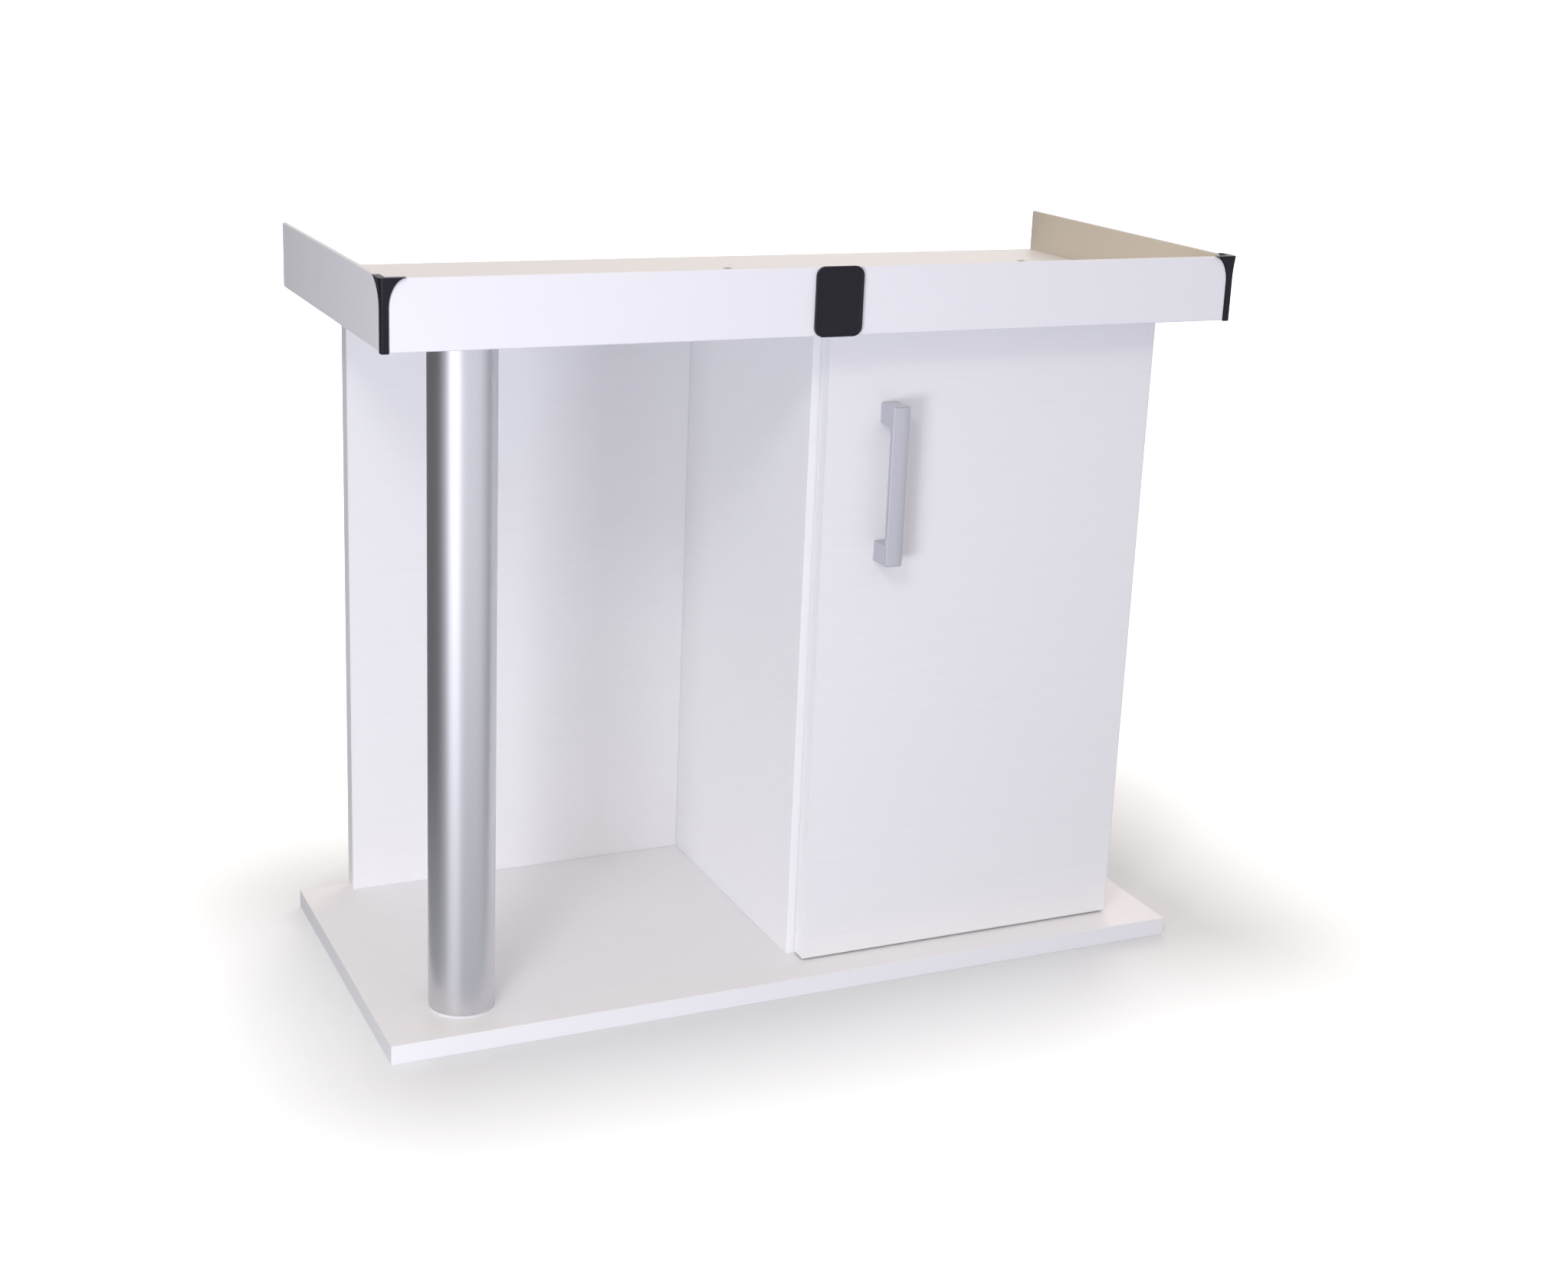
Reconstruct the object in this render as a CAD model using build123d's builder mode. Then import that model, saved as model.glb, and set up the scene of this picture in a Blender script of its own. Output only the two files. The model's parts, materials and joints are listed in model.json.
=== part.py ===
"""Cabinet stand for an 80 cm aquarium.

A white board cabinet with an open bay on the left, a cupboard with one door on the right, a round
metal leg under the front left corner and a low rim of trims round the top board.
Millimetres, +X to the right, +Y to the rear, +Z up, origin under the middle of the stand.
"""

import os

from build123d import *

os.makedirs("parts", exist_ok=True)

# Driving dimensions
WIDTH = 800.0  # base board and top board
DEPTH = 350.0
BOARD = 18.0  # board thickness
TOP_FACE = 647.0  # height of the face that the tank stands on
TRIM_BOTTOM = 628.0
TRIM_HEIGHT = 60.0
TRIM = 4.0  # trim thickness
TRIM_ROUND = 1.3  # rounded edges of the trims
TRIM_REAR_ROUND = 2.5
CORNER_SKIN = 1.2  # the corner pieces stand this much prouder than the trims
CORNER_FLARE = 1.8  # and splay out by this much more at the top
CORNER_WIDTH = 6.5  # of each flange below the curve
CORNER_OVER = 0.5  # above and below the trims
CORNER_RIDGE = 2.0  # rounding of their outer ridge
CURVE_WIDTH = 15.0  # quarter ellipse between a trim and a corner piece
CURVE_HEIGHT = 24.0
BADGE = (45.0, 61.0, 3.0)
BADGE_ROUND = 8.5
END_INSET = 50.0  # uprights stand in from the ends of the base board
FRONT_INSET = 52.0  # front edges of the uprights, behind the front of the base board
BAY_WIDTH = 352.0  # open bay, left end of the back panel to the partition
EDGE_BREAK = 0.4  # broken edges of the edge banding

# Places worked out from them
FRONT = -(DEPTH - TRIM - BADGE[2]) / 2
REAR = FRONT + DEPTH
LEFT = -WIDTH / 2
RIGHT = WIDTH / 2
UNDER_TOP = TOP_FACE - BOARD
PANEL_HEIGHT = UNDER_TOP - BOARD
PANEL_LEFT = LEFT + END_INSET
PANEL_RIGHT = RIGHT - END_INSET
PARTITION_LEFT = PANEL_LEFT + BAY_WIDTH
PARTITION_RIGHT = PARTITION_LEFT + BOARD
SIDE_LEFT = PANEL_RIGHT - BOARD
PANEL_FRONT = FRONT + FRONT_INSET
PANEL_DEPTH = REAR - PANEL_FRONT
PARTITION_MID = PARTITION_LEFT + BOARD / 2
SIDE_MID = SIDE_LEFT + BOARD / 2
BACK_MID = REAR - BOARD / 2
CUPBOARD_MID = (PARTITION_RIGHT + SIDE_LEFT) / 2
TRIM_TOP = TRIM_BOTTOM + TRIM_HEIGHT
TRIM_MID = TRIM_BOTTOM + TRIM_HEIGHT / 2
CURVE_BASE = TRIM_TOP - CURVE_HEIGHT
CORNER_LAP = CORNER_WIDTH - TRIM - CORNER_SKIN
BADGE_X = LEFT + 397.0

# Door and its handle
DOOR_GAP = 2.0  # above and below the door
DOOR_LEFT = PARTITION_LEFT + 8.5
DOOR_BACK = PANEL_FRONT - 1.0
DOOR_FACE = DOOR_BACK - BOARD
DOOR_BOTTOM = BOARD + DOOR_GAP
DOOR_TOP = UNDER_TOP - DOOR_GAP
HANDLE_X = DOOR_LEFT + 61.0
HANDLE_Z = 485.5
HANDLE_PITCH = 128.0  # between its two screws
HANDLE_LENGTH = 148.0
HANDLE_WIDTH = 16.5
HANDLE_REACH = 26.0
HANDLE_FINGER = 20.0  # finger gap behind the bar
HANDLE_POST = 19.0
HANDLE_CROWN = 1.0  # the bar's front is this much higher in its middle than at its sides
HANDLE_ROUND = 0.8
HANDLE_SCREW_RADIUS = 2.0

# Leg
LEG_X = LEFT + 81.0
LEG_Y = FRONT + 59.0
LEG_RADIUS = 30.0
LEG_WALL = 1.5
LEG_DISC = 2.0

# Cupboard fittings
BACK_SHEET = 3.0
SHEET_LAP = 8.0  # the cupboard back lies this far over the uprights
SHELF = 16.0
SHELF_TOP = 334.0
PIN_RADIUS = 2.5
PIN_DEPTH = 8.0

# Door pivots: a pin stands in a leaf on the board and turns in a leaf let into the door's end
PIVOT_X = PANEL_RIGHT - 4.0
PIVOT_Y = DOOR_BACK - BOARD / 2
PIVOT_RADIUS = 1.75
PIVOT_LENGTH = 4.4
PIVOT_CLEARANCE = 0.05
LEAF_WIDTH = 9.0
LEAF_LENGTH = 40.0
LEAF_NOSE = 3.0  # of the leaf, beyond the pivot
BOARD_LEAF = 1.2
DOOR_LEAF = 2.5
WASHER = 0.75
WASHER_RADIUS = 3.4
LEAF_SCREW_PLACES = (14.0, 32.0)  # from the pivot

# Magnetic catch
CATCH = (14.0, 40.0, 16.0)
CATCH_BOTTOM = 556.0
STRIKE = (12.0, 0.8, 30.0)

# Fasteners
SCREW_HEAD = 5.0  # carcass screws: radii, then lengths
SCREW_SHANK = 3.5
SCREW_CORE = 2.5
SCREW_HEAD_HEIGHT = 2.0
SCREW_CORE_LENGTH = 32.0
SCREW_ROWS = (FRONT + 100, FRONT + 268)
BACK_SCREW_HEIGHTS = (150, 480)
DOWEL_RADIUS = 4.0
DOWEL_IN_FACE = 10.0
DOWEL_IN_EDGE = 20.0
DOWN = (Align.CENTER, Align.CENTER, Align.MAX)
UP = (Align.CENTER, Align.CENTER, Align.MIN)
LEG_BOLT_HEAD = 8.0
LEG_BOLT_SHANK = 4.0
LEG_BOLT_LENGTH = 35.0
SMALL_SCREW_HEAD = 2.8
SMALL_SCREW_SHANK = 1.5
SMALL_SCREW_HEAD_HEIGHT = 1.3


def facing(x, y, z, normal):
    """A plane at a point, looking along its normal."""
    return Plane(origin=(x, y, z), z_dir=normal)


def board(x, y, z, size_x, size_y, size_z):
    """Add a board, given its lowest corner and its size, with its edges broken."""
    with Locations((x, y, z)):
        solid = Box(size_x, size_y, size_z, align=Align.MIN)
    chamfer(solid.edges(), EDGE_BREAK)


def carcass_screws(planes, mode=Mode.ADD):
    """Carcass screws, heads flush with the planes, shanks running back from them."""
    with Locations(*planes):
        Cone(SCREW_SHANK, SCREW_HEAD, SCREW_HEAD_HEIGHT, align=DOWN, mode=mode)
    with Locations(*[plane.offset(-SCREW_HEAD_HEIGHT) for plane in planes]):
        Cylinder(SCREW_SHANK, BOARD - SCREW_HEAD_HEIGHT, align=DOWN, mode=mode)
    with Locations(*[plane.offset(-BOARD) for plane in planes]):
        Cylinder(SCREW_CORE, SCREW_CORE_LENGTH, align=DOWN, mode=mode)


def screw_sockets(planes, across_corners, depth):
    """Hexagon sockets cut into screw heads."""
    with BuildSketch(*planes) as sockets:
        RegularPolygon(across_corners / 2, 6)
    extrude(sockets.sketch, amount=-depth, mode=Mode.SUBTRACT)


def dowels(planes, mode=Mode.ADD):
    """Dowels across joints; each plane lies in a joint and looks into the upright's edge."""
    with Locations(*planes):
        Cylinder(DOWEL_RADIUS, DOWEL_IN_EDGE, align=UP, mode=mode)
        Cylinder(DOWEL_RADIUS, DOWEL_IN_FACE, align=DOWN, mode=mode)


def stepped_pins(planes, head, shank, head_height, length, mode=Mode.ADD):
    """Countersunk screws, heads flush with the planes."""
    with Locations(*planes):
        Cone(shank, head, head_height, align=DOWN, mode=mode)
    with Locations(*[plane.offset(-head_height) for plane in planes]):
        Cylinder(shank, length - head_height, align=DOWN, mode=mode)


def leg_bolts(planes, mode=Mode.ADD):
    """Countersunk bolts that hold the leg between the boards."""
    stepped_pins(planes, LEG_BOLT_HEAD, LEG_BOLT_SHANK, 4.0, LEG_BOLT_LENGTH, mode)


def small_screws(planes, length, mode=Mode.ADD):
    """Small countersunk wood screws."""
    stepped_pins(planes, SMALL_SCREW_HEAD, SMALL_SCREW_SHANK, SMALL_SCREW_HEAD_HEIGHT, length, mode)


def shelf_pin_rods(planes, mode=Mode.ADD):
    """Plain rods, half in the upright and half under the shelf."""
    with Locations(*planes):
        Cylinder(PIN_RADIUS, 2 * PIN_DEPTH, mode=mode)


def sheet_rebate(left):
    """Rebate along an upright's rear edge, where the cupboard back lies flush."""
    with Locations((left, REAR - BACK_SHEET, BOARD)):
        Box(SHEET_LAP, BACK_SHEET, PANEL_HEIGHT, align=Align.MIN, mode=Mode.SUBTRACT)


def sheet_nails(planes, mode=Mode.ADD):
    """Flat-headed nails of the cupboard back, heads flush with the planes."""
    with Locations(*planes):
        Cylinder(1.5, 0.6, align=DOWN, mode=mode)
        Cylinder(0.7, 14.0, align=DOWN, mode=mode)


def leaf(z, thickness, mode=Mode.ADD):
    """A pivot leaf: a flat strip with rounded corners, reaching just past the pivot."""
    with BuildSketch(Plane.XY.offset(z)) as outline:
        with Locations((PIVOT_X + LEAF_NOSE - LEAF_LENGTH / 2, PIVOT_Y)):
            RectangleRounded(LEAF_LENGTH, LEAF_WIDTH, 2)
    extrude(outline.sketch, amount=thickness, mode=mode)


def pivot_rods(radius, length, mode=Mode.ADD):
    """Rods on the pivot line, up from the base board and down from the top board."""
    with Locations((PIVOT_X, PIVOT_Y, BOARD)):
        Cylinder(radius, length, align=UP, mode=mode)
    with Locations((PIVOT_X, PIVOT_Y, UNDER_TOP)):
        Cylinder(radius, length, align=DOWN, mode=mode)


def handle_screw_rods(planes, mode=Mode.ADD):
    """Shanks of the handle screws, through the door and into the handle's posts."""
    with Locations(*planes):
        Cylinder(HANDLE_SCREW_RADIUS, BOARD + 8, align=DOWN, mode=mode)


def leg_plug(end):
    """A disc that closes the tube, with a spigot inside it."""
    with Locations(end):
        Cylinder(LEG_RADIUS, LEG_DISC, align=UP)
        Cylinder(LEG_RADIUS - LEG_WALL - 0.05, LEG_DISC + 18, align=UP)


def trim_outline(start, end):
    """Outline of a trim, its top corner at the start cut to the curve of the corner piece."""
    EllipticalCenterArc((start + CURVE_WIDTH, CURVE_BASE), CURVE_WIDTH, CURVE_HEIGHT, 90, arc_size=90)
    Polyline(
        (start, CURVE_BASE),
        (start, TRIM_BOTTOM),
        (end, TRIM_BOTTOM),
        (end, TRIM_TOP),
        (start + CURVE_WIDTH, TRIM_TOP),
    )


def splay_line(surface):
    """Outer outline of a corner flange: upright, then splaying out to the top."""
    outer = surface - TRIM - CORNER_SKIN
    Line((outer, TRIM_BOTTOM - CORNER_OVER), (outer, CURVE_BASE))
    TangentArc((outer, CURVE_BASE), (outer - CORNER_FLARE, TRIM_TOP + CORNER_OVER), tangent=(0, 1))


# Places of the fasteners. Each plane lies on the face where the head is flush.
TOP_SCREWS = [facing(x, y, TOP_FACE, (0, 0, 1)) for x in (PARTITION_MID, SIDE_MID) for y in SCREW_ROWS]
BASE_SCREWS = [facing(x, y, 0, (0, 0, -1)) for x in (PARTITION_MID, SIDE_MID) for y in SCREW_ROWS]
BASE_SCREWS += [facing(x, BACK_MID, 0, (0, 0, -1)) for x in (PANEL_LEFT + 70, PANEL_LEFT + 280)]
BACK_SCREWS = [facing(PARTITION_RIGHT, BACK_MID, z, (1, 0, 0)) for z in BACK_SCREW_HEIGHTS]
TOP_DOWELS = [facing(x, FRONT + 184, UNDER_TOP, (0, 0, -1)) for x in (PARTITION_MID, SIDE_MID)]
TOP_DOWELS += [facing(x, BACK_MID, UNDER_TOP, (0, 0, -1)) for x in (PANEL_LEFT + 70, PANEL_LEFT + 280)]
BASE_DOWELS = [facing(x, FRONT + 184, BOARD, (0, 0, 1)) for x in (PARTITION_MID, SIDE_MID)]
BASE_DOWELS += [facing(PANEL_LEFT + 175, BACK_MID, BOARD, (0, 0, 1))]
SHELF_PINS = [
    facing(x, y, SHELF_TOP - SHELF - PIN_RADIUS, (normal, 0, 0))
    for x, normal in ((PARTITION_RIGHT, 1), (SIDE_LEFT, -1))
    for y in (PANEL_FRONT + 50, REAR - 50)
]
SHEET_NAILS = [
    facing(x, REAR, z, (0, 1, 0))
    for x in (PARTITION_RIGHT - SHEET_LAP / 2, SIDE_LEFT + SHEET_LAP / 2)
    for z in (60, 230, 400, 590)
]
LEG_BOLTS = [facing(LEG_X, LEG_Y, 0, (0, 0, -1)), facing(LEG_X, LEG_Y, TOP_FACE, (0, 0, 1))]
BOARD_LEAF_SCREWS = [facing(PIVOT_X - d, PIVOT_Y, BOARD + BOARD_LEAF, (0, 0, 1)) for d in LEAF_SCREW_PLACES]
BOARD_LEAF_SCREWS += [facing(PIVOT_X - d, PIVOT_Y, UNDER_TOP - BOARD_LEAF, (0, 0, -1)) for d in LEAF_SCREW_PLACES]
DOOR_LEAF_SCREWS = [facing(PIVOT_X - d, PIVOT_Y, DOOR_BOTTOM, (0, 0, -1)) for d in LEAF_SCREW_PLACES]
DOOR_LEAF_SCREWS += [facing(PIVOT_X - d, PIVOT_Y, DOOR_TOP, (0, 0, 1)) for d in LEAF_SCREW_PLACES]
CATCH_MID = CATCH_BOTTOM + CATCH[2] / 2
CATCH_SCREWS = [facing(PARTITION_RIGHT + 3, PANEL_FRONT + y, CATCH_MID, (1, 0, 0)) for y in (12, 30)]
STRIKE_SCREW = [facing(PARTITION_RIGHT + CATCH[0] / 2, DOOR_BACK + STRIKE[1], CATCH_MID, (0, 1, 0))]
HANDLE_SCREWS = [facing(HANDLE_X, DOOR_BACK, HANDLE_Z + s * HANDLE_PITCH / 2, (0, 1, 0)) for s in (-1, 1)]


# ---------------------------------------------------------------- carcass boards
with BuildPart() as base_board:
    board(LEFT, FRONT, 0, WIDTH, DEPTH, BOARD)
    carcass_screws(BASE_SCREWS, Mode.SUBTRACT)
    dowels(BASE_DOWELS, Mode.SUBTRACT)
    leg_bolts(LEG_BOLTS[:1], Mode.SUBTRACT)
    small_screws(BOARD_LEAF_SCREWS, 12, Mode.SUBTRACT)

with BuildPart() as top_board:
    board(LEFT, FRONT, UNDER_TOP, WIDTH, DEPTH, BOARD)
    carcass_screws(TOP_SCREWS, Mode.SUBTRACT)
    dowels(TOP_DOWELS, Mode.SUBTRACT)
    leg_bolts(LEG_BOLTS[1:], Mode.SUBTRACT)
    small_screws(BOARD_LEAF_SCREWS, 12, Mode.SUBTRACT)

with BuildPart() as back_panel:
    board(PANEL_LEFT, REAR - BOARD, BOARD, BAY_WIDTH, BOARD, PANEL_HEIGHT)
    carcass_screws(BASE_SCREWS + BACK_SCREWS, Mode.SUBTRACT)
    dowels(BASE_DOWELS + TOP_DOWELS, Mode.SUBTRACT)

with BuildPart() as partition:
    board(PARTITION_LEFT, PANEL_FRONT, BOARD, BOARD, PANEL_DEPTH, PANEL_HEIGHT)
    sheet_rebate(PARTITION_RIGHT - SHEET_LAP)
    carcass_screws(BASE_SCREWS + TOP_SCREWS + BACK_SCREWS, Mode.SUBTRACT)
    dowels(BASE_DOWELS + TOP_DOWELS, Mode.SUBTRACT)
    shelf_pin_rods(SHELF_PINS, Mode.SUBTRACT)
    sheet_nails(SHEET_NAILS, Mode.SUBTRACT)
    small_screws(CATCH_SCREWS, 14, Mode.SUBTRACT)

with BuildPart() as side_panel:
    board(SIDE_LEFT, PANEL_FRONT, BOARD, BOARD, PANEL_DEPTH, PANEL_HEIGHT)
    sheet_rebate(SIDE_LEFT)
    carcass_screws(BASE_SCREWS + TOP_SCREWS, Mode.SUBTRACT)
    dowels(BASE_DOWELS + TOP_DOWELS, Mode.SUBTRACT)
    shelf_pin_rods(SHELF_PINS, Mode.SUBTRACT)
    sheet_nails(SHEET_NAILS, Mode.SUBTRACT)

# ---------------------------------------------------------------- carcass fasteners
with BuildPart() as top_screws:
    carcass_screws(TOP_SCREWS)
    screw_sockets(TOP_SCREWS, 4.6, 3.0)

with BuildPart() as base_screws:
    carcass_screws(BASE_SCREWS)
    screw_sockets(BASE_SCREWS, 4.6, 3.0)

with BuildPart() as partition_screws:
    carcass_screws(BACK_SCREWS)
    screw_sockets(BACK_SCREWS, 4.6, 3.0)

with BuildPart() as joint_dowels:
    dowels(TOP_DOWELS + BASE_DOWELS)

# ---------------------------------------------------------------- cupboard
with BuildPart() as cupboard_back:
    with BuildSketch(Plane.XZ.offset(-REAR)):
        with Locations((CUPBOARD_MID, BOARD + PANEL_HEIGHT / 2)):
            Rectangle(SIDE_LEFT - PARTITION_RIGHT + 2 * SHEET_LAP - 0.4, PANEL_HEIGHT - 0.6)
        with Locations((CUPBOARD_MID, 560)):
            SlotOverall(110, 50, mode=Mode.SUBTRACT)
    extrude(amount=BACK_SHEET)
    sheet_nails(SHEET_NAILS, Mode.SUBTRACT)

with BuildPart() as back_nails:
    sheet_nails(SHEET_NAILS)

with BuildPart() as shelf:
    board(
        PARTITION_RIGHT + 0.5,
        PANEL_FRONT + 20,
        SHELF_TOP - SHELF,
        SIDE_LEFT - PARTITION_RIGHT - 1,
        PANEL_DEPTH - BACK_SHEET - 22,
        SHELF,
    )

with BuildPart() as shelf_pins:
    shelf_pin_rods(SHELF_PINS)
    chamfer(shelf_pins.edges(), 0.5)

with BuildPart() as catch_body:
    with BuildSketch(Plane.XY.offset(CATCH_BOTTOM)):
        with Locations((PARTITION_RIGHT + CATCH[0] / 2, PANEL_FRONT + CATCH[1] / 2 + 2)):
            Rectangle(CATCH[0], CATCH[1])
    extrude(amount=CATCH[2])
    fillet(catch_body.edges().filter_by(Axis.Z), 2)
    with BuildSketch(Plane.YZ.offset(PARTITION_RIGHT + 3)):
        with Locations((PANEL_FRONT + 21, CATCH_MID)):
            SlotOverall(26, 7)
    extrude(amount=CATCH[0], mode=Mode.SUBTRACT)
    small_screws(CATCH_SCREWS, 14, Mode.SUBTRACT)

with BuildPart() as catch_magnet:
    with BuildSketch(Plane.XY.offset(CATCH_BOTTOM + 2)):
        with Locations((PARTITION_RIGHT + CATCH[0] / 2, PANEL_FRONT + 0.925)):
            Rectangle(8, 2.15)
    extrude(amount=CATCH[2] - 4)

with BuildPart() as catch_screws:
    small_screws(CATCH_SCREWS, 14)
    screw_sockets(CATCH_SCREWS, 2.4, 0.8)

# ---------------------------------------------------------------- door
with BuildPart() as door:
    board(DOOR_LEFT, DOOR_FACE, DOOR_BOTTOM, PANEL_RIGHT - DOOR_LEFT, BOARD, DOOR_TOP - DOOR_BOTTOM)
    leaf(DOOR_BOTTOM, DOOR_LEAF, Mode.SUBTRACT)
    leaf(DOOR_TOP - DOOR_LEAF, DOOR_LEAF, Mode.SUBTRACT)
    small_screws(DOOR_LEAF_SCREWS, 20, Mode.SUBTRACT)
    small_screws(STRIKE_SCREW, 12, Mode.SUBTRACT)
    handle_screw_rods(HANDLE_SCREWS, Mode.SUBTRACT)

with BuildPart() as handle:
    with BuildSketch(Plane.YZ.offset(HANDLE_X)):
        with Locations((DOOR_FACE - HANDLE_REACH / 2, HANDLE_Z)):
            Rectangle(HANDLE_REACH, HANDLE_LENGTH)
        with Locations((DOOR_FACE - HANDLE_FINGER / 2, HANDLE_Z)):
            Rectangle(HANDLE_FINGER, HANDLE_LENGTH - 2 * HANDLE_POST, mode=Mode.SUBTRACT)
    extrude(amount=HANDLE_WIDTH / 2, both=True)
    with BuildSketch(Plane.XY.offset(HANDLE_Z)):
        with BuildLine():
            bar_side = DOOR_FACE - HANDLE_REACH + HANDLE_CROWN
            ThreePointArc(
                (HANDLE_X - HANDLE_WIDTH / 2, bar_side),
                (HANDLE_X, DOOR_FACE - HANDLE_REACH),
                (HANDLE_X + HANDLE_WIDTH / 2, bar_side),
            )
            Polyline(
                (HANDLE_X + HANDLE_WIDTH / 2, bar_side),
                (HANDLE_X + HANDLE_WIDTH / 2, DOOR_FACE),
                (HANDLE_X - HANDLE_WIDTH / 2, DOOR_FACE),
                (HANDLE_X - HANDLE_WIDTH / 2, bar_side),
            )
        make_face()
    extrude(amount=HANDLE_LENGTH / 2, both=True, mode=Mode.INTERSECT)
    fillet(handle.edges().filter_by(Axis.X).group_by(Axis.Y)[-2], 1)
    fillet(handle.faces().sort_by(Axis.Y)[0].edges(), HANDLE_ROUND)
    handle_screw_rods(HANDLE_SCREWS, Mode.SUBTRACT)

with BuildPart() as handle_screws:
    handle_screw_rods(HANDLE_SCREWS)
    with Locations(*HANDLE_SCREWS):
        Cylinder(4.0, 2.4, align=UP)
    fillet(handle_screws.faces().group_by(Axis.Y)[-1].edges(), 0.8)
    screw_sockets([plane.offset(2.4) for plane in HANDLE_SCREWS], 3.0, 1.2)

with BuildPart() as strike_plate:
    with BuildSketch(Plane.XZ.offset(-DOOR_BACK - STRIKE[1])):
        with Locations((PARTITION_RIGHT + CATCH[0] / 2, CATCH_MID)):
            RectangleRounded(STRIKE[0], STRIKE[2], 2)
    extrude(amount=STRIKE[1])
    small_screws(STRIKE_SCREW, 12, Mode.SUBTRACT)

with BuildPart() as strike_screw:
    small_screws(STRIKE_SCREW, 12)
    screw_sockets(STRIKE_SCREW, 2.4, 0.8)

with BuildPart() as door_bumpers:
    with BuildSketch(Plane.XZ.offset(-DOOR_BACK)):
        with Locations(*[((DOOR_LEFT + PARTITION_RIGHT) / 2, z) for z in (DOOR_BOTTOM + 20, DOOR_TOP - 20)]):
            Circle(4)
    extrude(amount=-0.9)

# ---------------------------------------------------------------- door pivots
with BuildPart() as board_leaves:
    leaf(BOARD, BOARD_LEAF)
    leaf(UNDER_TOP - BOARD_LEAF, BOARD_LEAF)
    small_screws(BOARD_LEAF_SCREWS, 12, Mode.SUBTRACT)
    pivot_rods(PIVOT_RADIUS, PIVOT_LENGTH, Mode.SUBTRACT)

with BuildPart() as board_leaf_screws:
    small_screws(BOARD_LEAF_SCREWS, 12)
    screw_sockets(BOARD_LEAF_SCREWS, 2.4, 0.8)

with BuildPart() as pivot_pins:
    pivot_rods(PIVOT_RADIUS, PIVOT_LENGTH)

with BuildPart() as pivot_washers:
    for z in (BOARD + BOARD_LEAF, UNDER_TOP - BOARD_LEAF - WASHER):
        with BuildSketch(Plane.XY.offset(z)):
            with Locations((PIVOT_X, PIVOT_Y)):
                Circle(WASHER_RADIUS)
                Circle(PIVOT_RADIUS, mode=Mode.SUBTRACT)
        extrude(amount=WASHER)

with BuildPart() as door_leaves:
    leaf(DOOR_BOTTOM, DOOR_LEAF)
    leaf(DOOR_TOP - DOOR_LEAF, DOOR_LEAF)
    small_screws(DOOR_LEAF_SCREWS, 20, Mode.SUBTRACT)
    pivot_rods(PIVOT_RADIUS + PIVOT_CLEARANCE, DOOR_GAP + DOOR_LEAF, Mode.SUBTRACT)

with BuildPart() as door_leaf_screws:
    small_screws(DOOR_LEAF_SCREWS, 20)
    screw_sockets(DOOR_LEAF_SCREWS, 2.4, 0.8)

# ---------------------------------------------------------------- leg
with BuildPart() as leg_tube:
    with BuildSketch(Plane.XY.offset(BOARD + LEG_DISC)):
        with Locations((LEG_X, LEG_Y)):
            Circle(LEG_RADIUS)
            Circle(LEG_RADIUS - LEG_WALL, mode=Mode.SUBTRACT)
    extrude(amount=PANEL_HEIGHT - 2 * LEG_DISC)

with BuildPart() as leg_foot:
    leg_plug(facing(LEG_X, LEG_Y, BOARD, (0, 0, 1)))
    leg_bolts(LEG_BOLTS, Mode.SUBTRACT)

with BuildPart() as leg_head:
    leg_plug(facing(LEG_X, LEG_Y, UNDER_TOP, (0, 0, -1)))
    leg_bolts(LEG_BOLTS, Mode.SUBTRACT)

with BuildPart() as leg_screws:
    leg_bolts(LEG_BOLTS)
    screw_sockets(LEG_BOLTS, 5.8, 3.0)

# ---------------------------------------------------------------- rim round the top board
with BuildPart() as front_trim:
    with BuildSketch(Plane.XZ.offset(-FRONT)):
        with BuildLine():
            trim_outline(LEFT + CORNER_LAP, 0)
        make_face()
        mirror(about=Plane.YZ)
    extrude(amount=TRIM)
    fillet(front_trim.faces().filter_by(Axis.Y).edges(), TRIM_ROUND)

with BuildPart() as left_trim:
    with BuildSketch(Plane.YZ.offset(LEFT)) as left_face:
        with BuildLine():
            trim_outline(FRONT + CORNER_LAP, REAR)
        make_face()
        fillet(left_face.vertices().group_by(Axis.X)[-1], TRIM_REAR_ROUND)
    extrude(amount=-TRIM)
    fillet(left_trim.faces().filter_by(Axis.X).edges(), TRIM_ROUND)

with BuildPart() as right_trim:
    mirror(left_trim.part, about=Plane.YZ)

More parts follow.
